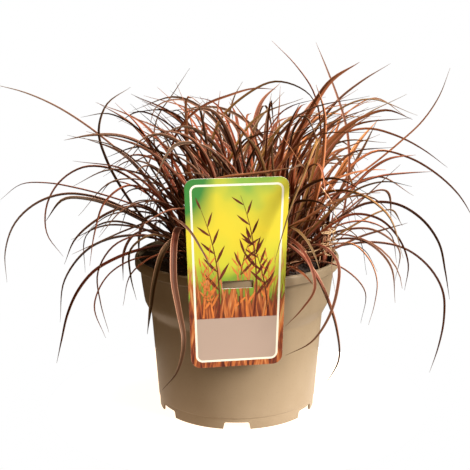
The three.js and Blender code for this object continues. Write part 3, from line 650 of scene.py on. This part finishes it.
def printable(x, z):
    up = (z - card_foot) / (card_top - card_foot)
    half = (card_foot_width + (card_top_width - card_foot_width) * up) / 2 - ink_side_margin
    below_slot = abs(x - slot_offset) < slot_width / 2 + mm
    over_slot = below_slot and slot_top - slot_height - mm < z < slot_top + mm
    return abs(x) < half and panel_top < z < card_top - ink_top_margin and not over_slot


def print_patch(points, faces, outline):
    """One flat shape of ink, left out where it would leave the printed field."""
    if not all(printable(x, z) for x, z in outline):
        return
    start = len(points)
    points.extend(card_place @ Vector((x, -card_thickness / 2 - ink_lift, z)) for x, z in outline)
    faces.append(tuple(start + k for k in range(len(outline))))


leaf_outline = (
    (0, 0), (0.2, 0.06), (0.5, 0.085), (0.8, 0.045), (1, 0), (0.8, -0.03), (0.5, -0.06), (0.2, -0.05),
)


def twig(points, faces, x, z, height, lean, curl, size):
    """A curved stem with slender pointed leaves by turns on its left and right."""
    steps = 12
    place = Vector((x, z))
    heading = math.pi / 2 - lean
    stem = []
    for i in range(steps + 1):
        stem.append((place.copy(), heading))
        place += Vector((math.cos(heading), math.sin(heading))) * height / steps
        heading -= curl / steps
    edges = []
    for i, (at, turn) in enumerate(stem):
        side = Vector((-math.sin(turn), math.cos(turn))) * 0.6 * mm * (1.2 - i / steps)
        edges.append((at + side, at - side))
    for (a, b), (c, d) in zip(edges, edges[1:]):
        print_patch(points, faces, [tuple(a), tuple(b), tuple(d), tuple(c)])
    for i in range(2, steps + 1):
        at, turn = stem[i]
        out = turn if i == steps else turn + (0.62 if i % 2 else -0.62)
        length = size * (1.15 - 0.5 * i / steps)
        ahead = Vector((math.cos(out), math.sin(out))) * length
        across = Vector((-ahead.y, ahead.x))
        leaf = [tuple(at + ahead * along + across * wide) for along, wide in leaf_outline]
        print_patch(points, faces, leaf)


def ink(name, colour):
    material, tree, shader = plain_material(name, colour, 0.32)
    tone = noise_at(tree, object_place(tree), 120, 3)
    lighter = tuple(min(1, 1.5 * part) for part in colour)
    set_up(tree, shader, Base_Color=ramp(tree, tone, [(0.35, colour), (0.7, lighter)]))
    return material


twig_rows = (
    ("amber_twigs", (0.34, 0.1, 0.022), 13, (
        (-26, 40, 0.1, -0.3), (-18, 50, -0.2, 0.3), (-4, 44, 0.25, -0.3), (8, 52, -0.1, 0.4),
        (22, 46, 0.2, -0.4),
    )),
    ("russet_twigs", (0.07, 0.013, 0.007), 17, (
        (-14, 86, 0.05, -0.45), (3, 66, -0.12, 0.55), (13, 96, 0.12, -0.5), (24, 62, -0.05, -0.35),
    )),
)
for name, colour, leaf_length, stems in twig_rows:
    points, faces = [], []
    for x, height, lean, curl in stems:
        twig(points, faces, x * mm, panel_top + 0.6 * mm, height * mm, lean, curl, leaf_length * mm)
    sprigs = into_object(name, points, (), faces)
    face_outward()
    sprigs.data.materials.append(ink(name + "_ink", colour))
    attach(sprigs, "root")

# The leaves are narrow channelled blades, red-brown with a dark midrib and pale thin edges that carry a
# painted highlight, and turn olive towards hair-fine tips; near their roots they are painted darker, as
# painted shade deep in the tuft. They grow fused in shoots. Each follows one blade of a shoot in the model:
# its path runs through the corners that the blade has there.
section = (
    (-1.0, 0.0, 0.5), (-0.52, -0.3, 0.0), (0.0, -0.52, 0.0), (0.52, -0.3, 0.0),
    (1.0, 0.0, 0.5), (0.5, -0.62, 1.0), (0.0, -1.0, 1.0), (-0.5, -0.62, 1.0),
)
fine_section = ((-1.0, 0.0, 0.5), (0.0, -0.35, 0.0), (1.0, 0.0, 0.5), (0.0, -0.9, 1.0))
leaf_facts = ("tone", "age", "along", "across", "under")
keel_share = 0.72
keel_least = 0.08 * mm
dense_steps = 12


def new_pile():
    return {"points": [], "faces": [], **{fact: [] for fact in leaf_facts}}


def between(a, b, start, end, t):
    """The point at t on the line that is at a where t is start, and at b where t is end."""
    return a * ((end - t) / (end - start)) + b * ((t - start) / (end - start))


def smooth_path(points, count):
    """Evenly spaced points on a smooth curve through the given ones, and where each lies among those."""
    points = [Vector(p) for p in points]
    points = [points[0] * 2 - points[1], *points, points[-1] * 2 - points[-2]]
    dense, index = [], []
    for i in range(1, len(points) - 2):
        p0, p1, p2, p3 = points[i - 1:i + 3]
        t1 = (p1 - p0).length ** 0.5
        t2 = t1 + (p2 - p1).length ** 0.5
        t3 = t2 + (p3 - p2).length ** 0.5
        for k in range(dense_steps):
            t = t1 + (t2 - t1) * k / dense_steps
            line = between(p1, p2, t1, t2, t)
            before = between(between(p0, p1, 0, t1, t), line, 0, t2, t)
            after = between(line, between(p2, p3, t2, t3, t), t1, t3, t)
            dense.append(between(before, after, t1, t2, t))
            index.append(i - 1 + k / dense_steps)
    dense.append(points[-2])
    index.append(len(points) - 3)
    dense = np.array([p[:] for p in dense])
    way = np.concatenate([[0], np.cumsum(np.linalg.norm(np.diff(dense, axis=0), axis=1))])
    even = np.linspace(0, way[-1], count)
    path = np.stack([np.interp(even, way, dense[:, k]) for k in range(3)], axis=1)
    return path, np.interp(even, way, index)


def lay_blade(pile, path, sides, widths, tone, age, shape):
    """Adds one closed blade: the section swept along the path and drawn to a point at the tip."""
    count = len(path)
    ahead = np.gradient(path, axis=0)
    ahead /= np.linalg.norm(ahead, axis=1, keepdims=True)
    sides = sides - ahead * np.sum(sides * ahead, axis=1, keepdims=True)
    sides /= np.linalg.norm(sides, axis=1, keepdims=True)
    ups = np.cross(ahead, sides)
    start = len(pile["points"])
    round_count = len(shape)
    for i in range(count):
        depth = keel_share * widths[i] + keel_least
        for across, height, under in shape:
            pile["points"].append(tuple(path[i] + sides[i] * across * widths[i] + ups[i] * height * depth))
            for fact, value in zip(leaf_facts, (tone, age, i / (count - 1), across, under)):
                pile[fact].append(value)
    for i in range(count - 1):
        for k in range(round_count):
            a, b = start + i * round_count + k, start + i * round_count + (k + 1) % round_count
            pile["faces"].append((a, b, b + round_count, a + round_count))
    last = start + (count - 1) * round_count
    pile["faces"].append(tuple(start + k for k in reversed(range(round_count))))
    pile["faces"].append(tuple(last + k for k in range(round_count)))


def leaf_piece(name, pile):
    """The pile as one object, with what its material reads on each corner."""
    piece = into_object(name, pile["points"], (), pile["faces"])
    for fact in leaf_facts:
        layer = piece.data.attributes.new(fact, "FLOAT", "POINT")
        layer.data.foreach_set("value", pile[fact])
    face_outward()
    bpy.ops.object.shade_smooth_by_angle(angle=math.radians(31))
    return piece


def facts_in(tree):
    """What each corner of a leaf says, as sockets by name."""
    reader = partial(new_node, tree, "ShaderNodeAttribute")
    return {name: reader(attribute_name=name).outputs["Fac"] for name in leaf_facts}


def leaf_material():
    material, tree, shader = plain_material("sedge_leaf", (0.2, 0.05, 0.02), 0.36)
    maths, blend = partial(math_node, tree), partial(blend_colour, tree)
    fact = facts_in(tree)
    across = maths("ABSOLUTE", fact["across"])
    grain_place = new_node(tree, "ShaderNodeCombineXYZ")
    for place, name, scale in ((0, "across", 3.2), (1, "along", 6.0), (2, "tone", 60.0)):
        feed(tree, grain_place.inputs[place], maths("MULTIPLY", fact[name], scale))
    streak = noise_at(tree, grain_place.outputs[0], 1.6, 4, 0.6)
    tone = maths("ADD", fact["tone"], maths("MULTIPLY", maths("SUBTRACT", streak, 0.5), 0.5))
    base = ramp(tree, tone, [
        (0.08, (0.022, 0.009, 0.005)),
        (0.28, (0.075, 0.017, 0.008)),
        (0.48, (0.2, 0.036, 0.015)),
        (0.68, (0.31, 0.067, 0.022)),
        (1.0, (0.46, 0.16, 0.045)),
    ])
    golden = maths("MULTIPLY", maths("SUBTRACT", fact["age"], 0.7), 4.0, clamp=True)
    base = blend(maths("MULTIPLY", golden, 0.85), base, (0.2, 0.1, 0.018))
    base = blend(maths("MULTIPLY", fact["under"], 0.4), base, (0.07, 0.026, 0.013))
    rib = maths("MULTIPLY", maths("LESS_THAN", across, 0.16), 0.6)
    base = blend(rib, base, (0.018, 0.007, 0.005))
    # The pale thin edges are lightened further by a painted highlight.
    pale_edge_highlight = maths("MULTIPLY", maths("SUBTRACT", across, 0.76), 3.2, clamp=True)
    base = blend(pale_edge_highlight, base, (0.5, 0.25, 0.15))
    tipward = maths("MULTIPLY", maths("SUBTRACT", fact["along"], 0.45), 2.0, clamp=True)
    olive = maths("MULTIPLY", tipward, maths("MULTIPLY_ADD", fact["age"], 0.5, 0.36), clamp=True)
    base = blend(olive, base, (0.075, 0.05, 0.026))
    # Towards the root each leaf turns nearly black: painted shade deep in the tuft.
    painted_root_shade = maths("SUBTRACT", 1.0, maths("MULTIPLY", fact["along"], 2.6), clamp=True)
    base = blend(maths("MULTIPLY", painted_root_shade, 0.85), base, (0.02, 0.009, 0.005))
    rough = maths("MULTIPLY_ADD", streak, 0.3, 0.3)
    set_up(tree, shader, Base_Color=base, Roughness=rough)
    set_up(tree, shader, Specular_IOR_Level=0.1, Specular_Tint=(1, 0.74, 0.6))
    veins = maths("SINE", maths("MULTIPLY", fact["across"], 26.0))
    bump(tree, shader, maths("MULTIPLY_ADD", veins, 0.5, streak), 0.25, 0.0003)
    return material


sheath_foot = 98 * mm
sheath_top = 150 * mm
sheath_reach = 4.4 * mm
tip_stretch = 6 * mm
widest_ring = 4 * mm


def blades_of(node):
    """The foot of a shoot's axis, and for each blade its rings of three corners, from tip to root."""
    solid = bmesh.new()
    solid.from_mesh(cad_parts[node].data)
    bmesh.ops.remove_doubles(solid, verts=solid.verts, dist=1e-6)
    foot_ring = [v.co for v in solid.verts if abs(v.co.z - sheath_foot) < 0.01 * mm]
    axis = sum(foot_ring, Vector()) / len(foot_ring)
    blades = []
    for tip in solid.verts:
        ring = [edge.other_vert(tip) for edge in tip.link_edges]
        middle = sum((v.co for v in ring), Vector()) / len(ring)
        if len(ring) != 3 or (tip.co - middle).length < tip_stretch:
            continue
        rings, passed = [], {tip}
        while len(ring) == 3:
            middle = sum((v.co for v in ring), Vector()) / 3
            if max((v.co - middle).length for v in ring) > widest_ring:
                break
            if rings and (middle.xy - axis.xy).length < sheath_reach and middle.z < sheath_top:
                break
            rings.append([v.co.copy() for v in ring])
            passed |= set(ring)
            nearby = {edge.other_vert(v) for v in ring for edge in v.link_edges} - passed
            ring = sorted(nearby, key=lambda v: v.co[:])
        if rings and ring:
            onward = sum((v.co for v in ring), Vector()) / len(ring)
            blades.append((tip.co.copy(), rings, onward))
    solid.free()
    return axis, blades


def ring_frame(ring, former_side):
    """A ring's middle, side and half width. The keel is the corner across from the longest edge."""
    pairs = ((0, 1, 2), (1, 2, 0), (2, 0, 1))
    a, b, keel = max(pairs, key=lambda p: (ring[p[0]] - ring[p[1]]).length)
    middle = (ring[a] + ring[b]) / 2
    side = (ring[a] - ring[b]).normalized()
    if former_side is not None and side.dot(former_side) < 0:
        side = -side
    return middle, side, (ring[a] - ring[b]).length / 2, middle - ring[keel]


leaf_draw = random.Random(21)
leaf_heart = Vector((8 * mm, 0, 170 * mm))
leaf_reach = 160 * mm
root_low = 118 * mm
root_high = 142 * mm
thinnest_half = 0.24 * mm
tip_half = 0.12 * mm
tip_match = 6 * mm
# Leaves that stand out by a colour of their own: the place of the tip in millimetres, the tone and the age.
marked_leaves = (
    ((61, -40, 274), 0.85, 0.1),
    ((28, -97, 147), 0.5, 0.95),
    ((-17, -104, 139), 0.22, 0.6),
    ((-138, -20, 228), 0.24, 0.5),
    ((-199, 0, 271), 0.18, 0.6),
    ((96, -24, 290), 0.72, 0.2),
    ((134, -56, 249), 0.8, 0.3),
    ((136, -64, 223), 0.6, 0.1),
    ((131, -82, 202), 0.5, 1.0),
    ((-54, -156, 68), 0.2, 0.4),
    ((37, -100, 75), 0.28, 0.6),
    ((68, -92, 48), 0.3, 0.4),
    ((36, -101, 98), 0.34, 0.3),
)


def leaf_path(axis, tip, rings, onward):
    """A blade's way from inside its sheath to its tip, with its side and its half width at each point."""
    stations = []
    for ring in rings:
        stations.append(ring_frame(ring, stations[-1][1] if stations else None))
    stations.reverse()
    first = stations[0][0]
    outward = (first - axis).xy
    away = max(outward.length, 0.1 * mm)
    inward = (onward - first).normalized()
    fall = inward.z * min(away / max(inward.xy.length, 0.2), 40 * mm)
    root_height = min(max(first.z + fall, root_low), min(root_high, max(first.z, root_low + mm)))
    offset = outward * (min(2.1 * mm, away) / away)
    root = Vector((axis.x + offset.x, axis.y + offset.y, root_height))
    centres = [root, *(s[0] for s in stations), tip]
    swell = 0.74 + 0.5 * min(1.0, (tip - leaf_heart).xz.length / leaf_reach) ** 2
    sides = [stations[0][1], *(s[1] for s in stations), stations[-1][1]]
    halves = [stations[0][2], *(swell * s[2] for s in stations), 0.0]
    path, index = smooth_path(centres, 15 + 3 * len(centres))
    numbers = np.arange(len(centres))
    side_path = np.stack([np.interp(index, numbers, [s[k] for s in sides]) for k in range(3)], axis=1)
    widths = np.pad(np.interp(index, numbers, halves), 2, mode="edge")
    widths = np.maximum(np.convolve(widths, np.ones(5) / 5, mode="valid"), thinnest_half)
    widths[-1] = tip_half
    up = Vector(path[1] - path[0]).cross(Vector(side_path[0]))
    if up.dot(stations[0][3]) < 0:
        side_path = -side_path
    return path, side_path, widths


def leaf_colour(tip):
    """A leaf's tone and age, with painted light: both rise towards the lamp at the right, and the tone
    drops as painted shade where a leaf hangs in front of the pot on the left.
    """
    rightward = min(1.0, max(-1.0, tip.x / (120 * mm)))
    in_shade = 0.25 if tip.y < -88 * mm and tip.x < 0 else 0.0
    spread = 0.8 + 0.14 * rightward
    tone = min(0.97, max(0.05, 0.43 + 0.15 * rightward - in_shade + spread * (leaf_draw.random() - 0.5)))
    # The age rises towards the lamp at the right, so the leaf turns more golden there: painted light.
    age = leaf_draw.random() ** 1.5 * (1 + 0.3 * min(0.0, rightward)) + 0.24 * max(0.0, rightward)
    for place, own_tone, own_age in marked_leaves:
        if (tip - Vector(place) * mm).length < tip_match:
            return own_tone, own_age
    return tone, min(1.0, age)


shoot_names = sorted(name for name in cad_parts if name.startswith("sedge_shoot"))
red_leaf = leaf_material()
shoot_axes = []
tuft_size = 8
for first in range(0, len(shoot_names), tuft_size):
    members = shoot_names[first:first + tuft_size]
    pile = new_pile()
    for node in members:
        axis, blades = blades_of(node)
        shoot_axes.append(axis)
        for tip, rings, onward in blades:
            lay_blade(pile, *leaf_path(axis, tip, rings, onward), *leaf_colour(tip), section)
    tuft = leaf_piece(f"leaf_tuft_{first // tuft_size + 1}", pile)
    tuft.data.materials.append(red_leaf)
    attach(tuft, "root")
    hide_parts(*members)

# At the foot of each shoot the bases of old leaves clasp each other in a tight brown bundle. They are
# short, broad and dark, and stand closer and taller on the left of the plant.
base_foot = 108 * mm
base_belly = 122 * mm
base_steps = 8
base_shares = np.linspace(0, 1, base_steps)
base_halves = np.interp(base_shares, [0, 0.5, 0.85, 1], [2.6 * mm, 2.3 * mm, 1.5 * mm, 0.2 * mm])
base_top = 138 * mm
pile = new_pile()
base_draw = random.Random(33)
for axis in shoot_axes:
    crowd, tallest = (15, 66) if axis.x < 0 else (11, 50)
    for k in range(crowd):
        turn = math.tau * (k + 0.6 * base_draw.random()) / crowd
        out = Vector((math.cos(turn), math.sin(turn), 0))
        reach = 1.5 + 1.7 * base_draw.random()
        rise = tallest * base_draw.random()
        flare = reach + 0.6 + 0.2 * rise + 1.6 * base_draw.random()
        stations = [
            Vector((axis.x, axis.y, base_foot)) + out * 2.6 * mm,
            Vector((axis.x, axis.y, base_belly)) + out * reach * mm,
            Vector((axis.x, axis.y, base_top + rise * mm)) + out * flare * mm,
        ]
        path, _ = smooth_path(stations, base_steps)
        side = np.tile(np.array([-out.y, out.x, 0]), (base_steps, 1))
        lay_blade(pile, path, side, base_halves, 0.1 + 0.4 * base_draw.random(), 0.4, fine_section)
sheaths = leaf_piece("leaf_bases", pile)
sheaths.data.materials.append(red_leaf)
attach(sheaths, "root")

# Between the main leaves stand thinner and younger ones, which the model leaves out. Each springs from a
# shoot and arches over in a curve of its own.
box_low, box_high = box_before
lowest_leaf = 20 * mm
plant_middle = Vector((8 * mm, 2 * mm, 0))
pot_inside = collar_top_radius - wall
behind_card = 6 * mm


def clear_of_pot_and_card(point, margin):
    """True where a leaf may be: off the floor, outside the pot, above the compost and beside the card."""
    x, y, z = point
    away = math.hypot(x, y)
    lowest = (box_low.x, box_low.y, lowest_leaf)
    if not all(low < value < high for low, value, high in zip(lowest, point, box_high)):
        return False
    if z < pot_height + margin and away < lip_radius + margin:
        if away > pot_inside - margin or z < soil_edge + soil_mound:
            return False
    local = card_place.inverted() @ Vector(point)
    beside = abs(local.x) > card_top_width / 2 + margin
    level = card_foot - margin < local.z < card_top + margin
    return beside or not (level and -card_thickness - margin < local.y < behind_card)


def arching_path(root, length, lean, bend, azimuth, sweep, power):
    """Points along a leaf that leans more and more, by a power of the way, and turns aside as it goes."""
    links = 16
    path = [np.array(root)]
    for i in range(links):
        share = (i + 0.5) / links
        tilt = lean + bend * share**power
        heading = azimuth + sweep * share
        level = math.sin(tilt)
        step = np.array([level * math.cos(heading), level * math.sin(heading), math.cos(tilt)])
        path.append(path[-1] + step * length / links)
    return np.array(path)


fine_draw = random.Random(77)
spread_right = 105 * mm
spread_left = 0.75 * spread_right
spread_deep = 125 * mm
fine_root = 120 * mm
fine_top = 232 * mm
fine_tries = 40
upright = np.array([0, 0, 1])
pile = new_pile()
for axis in shoot_axes:
    outward = (axis - plant_middle).xy
    away = min(1.0, outward.length / (52 * mm))
    for spread in (math.pi + (2.0 - math.pi) * away, math.pi):
        for _ in range(fine_tries):
            turn = spread * (fine_draw.random() + fine_draw.random() - 1)
            azimuth = math.atan2(outward.y, outward.x) + turn
            lean = math.radians(2 + 26 * away * fine_draw.random() + 22 * fine_draw.random())
            bend = math.radians(20 + 130 * fine_draw.random())
            sweep = math.radians(220) * (fine_draw.random() - 0.5)
            length = (60 + 100 * fine_draw.random()) * mm
            root = (axis.x, axis.y, fine_root)
            path = arching_path(root, length, lean, bend, azimuth, sweep, 1.2 + 1.2 * fine_draw.random())
            half = (0.6 + 1.2 * fine_draw.random()) * mm
            end = path[-1]
            x, y = end[0] - plant_middle.x, end[1] - plant_middle.y
            out = math.hypot(x / (spread_right if x > 0 else spread_left), y / spread_deep)
            inside = out < 1 + 0.35 * fine_draw.random() ** 3 and path[:, 2].max() < fine_top
            if inside and all(clear_of_pot_and_card(p, 2 * mm) for p in path[2:]):
                break
        else:
            continue
        shares = np.linspace(0, 1, len(path))
        widths = half * np.interp(shares, [0, 0.25, 0.7, 0.9, 1], [0.8, 1, 0.95, 0.6, 0.15])
        lean_side = np.array([-math.sin(azimuth), math.cos(azimuth), 0])
        twist = 1.5 * (fine_draw.random() - 0.5)
        turns = twist * shares[:, None]
        side = lean_side * np.cos(turns) + upright * np.sin(turns)
        # Their tone rises towards the lamp at the right: painted light.
        tone = min(0.97, max(0.05, 0.38 + 1.5 * end[0] + 0.7 * (fine_draw.random() - 0.5)))
        lay_blade(pile, path, side, widths, tone, fine_draw.random(), fine_section)
fine_leaves = leaf_piece("fine_leaves", pile)
fine_leaves.data.materials.append(red_leaf)
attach(fine_leaves, "root")


# Last year's leaves lie low among the shoots, dry, straw-coloured and kinked. At the right a few have wound
# themselves into a loose knot that rests on the pot's lip.
def dry_straw():
    material, tree, shader = plain_material("dry_straw", (0.4, 0.25, 0.12), 0.6)
    fact = facts_in(tree)
    blotch = noise_at(tree, object_place(tree), 160, 3)
    tone = math_node(tree, "ADD", fact["tone"], math_node(tree, "MULTIPLY", blotch, 0.4))
    stops = [(0.3, (0.12, 0.05, 0.022)), (0.6, (0.3, 0.15, 0.07)), (0.95, (0.5, 0.34, 0.18))]
    set_up(tree, shader, Base_Color=ramp(tree, tone, stops), Specular_IOR_Level=0.2)
    bump(tree, shader, blotch, 0.3, 0.0003)
    return material


def lay_strand(pile, points, half, tone):
    path, _ = smooth_path(points, 6 + 4 * len(points))
    sides = np.cross(np.gradient(path, axis=0), np.array([0.31, 0.17, 1.0]))
    widths = half * np.interp(np.linspace(0, 1, len(path)), [0, 0.1, 0.75, 1], [0.6, 1, 0.9, 0.25])
    lay_blade(pile, path, sides, widths, tone, 0.5, fine_section)


straw_draw = random.Random(12)
straw_foot = 121 * mm
straw_room = 76 * mm
straws_each = 2
pile = new_pile()
for axis in shoot_axes:
    for k in range(straws_each):
        heading = math.tau * straw_draw.random()
        place = np.array([axis.x, axis.y, straw_foot])
        line = [place]
        rise = 0.5 + 0.7 * straw_draw.random()
        for joint in range(5):
            step = (9 + 9 * straw_draw.random()) * mm
            heading += 1.1 * (straw_draw.random() - 0.5)
            rise -= 0.45 * straw_draw.random()
            level = math.cos(rise)
            way = np.array([math.cos(heading) * level, math.sin(heading) * level, math.sin(rise)])
            place = place + step * way
            if math.hypot(place[0], place[1]) > straw_room or place[2] < straw_foot:
                break
            line.append(place)
        if len(line) > 3:
            lay_strand(pile, line, (0.5 + 0.7 * straw_draw.random()) * mm, straw_draw.random())
knot = np.array([71, -61, 151]) * mm
knot_loops = 11
loop_joints = 8
for k in range(knot_loops):
    tipped = Matrix.Rotation(math.pi * straw_draw.random(), 3, "X")
    lean = tipped @ Matrix.Rotation(math.tau * straw_draw.random(), 3, "Z")
    wide, narrow = (3 + 4 * straw_draw.random()) * mm, (1 + 1.8 * straw_draw.random()) * mm
    spot = np.array([straw_draw.random() - 0.5, straw_draw.random() - 0.5, straw_draw.random() - 0.3])
    middle = knot + spot * np.array([5, 5, 18]) * mm
    loop = []
    for joint in range(loop_joints + 1):
        turn = math.tau * 1.25 * joint / loop_joints
        swell = 0.75 + 0.5 * straw_draw.random()
        corner = Vector((wide * swell * math.cos(turn), narrow * swell * math.sin(turn), joint * 0.3 * mm))
        loop.append(middle + np.array(lean @ corner))
    lay_strand(pile, loop, (0.3 + 0.25 * straw_draw.random()) * mm, 0.35 + 0.6 * straw_draw.random())
strands = (
    (0.5, 0.8, ((40, -58, 148.6), (53.7, -64, 146.8), (63, -64, 148.5), (67.7, -62, 152.8))),
    (0.5, 0.5, (
        (65.5, -50, 195.6), (73.8, -56, 184.1), (76.9, -60, 169.9), (74.6, -62, 157.6), (70.7, -64, 149.5),
    )),
    (0.4, 0.1, ((70.7, -61, 152), (74, -70, 151), (72.3, -79, 139), (75.4, -81, 118.5))),
)
for half, tone, points in strands:
    lay_strand(pile, [np.array(point) * mm for point in points], half * mm, tone)
straw = leaf_piece("dry_leaves", pile)
straw.data.materials.append(dry_straw())
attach(straw, "root")
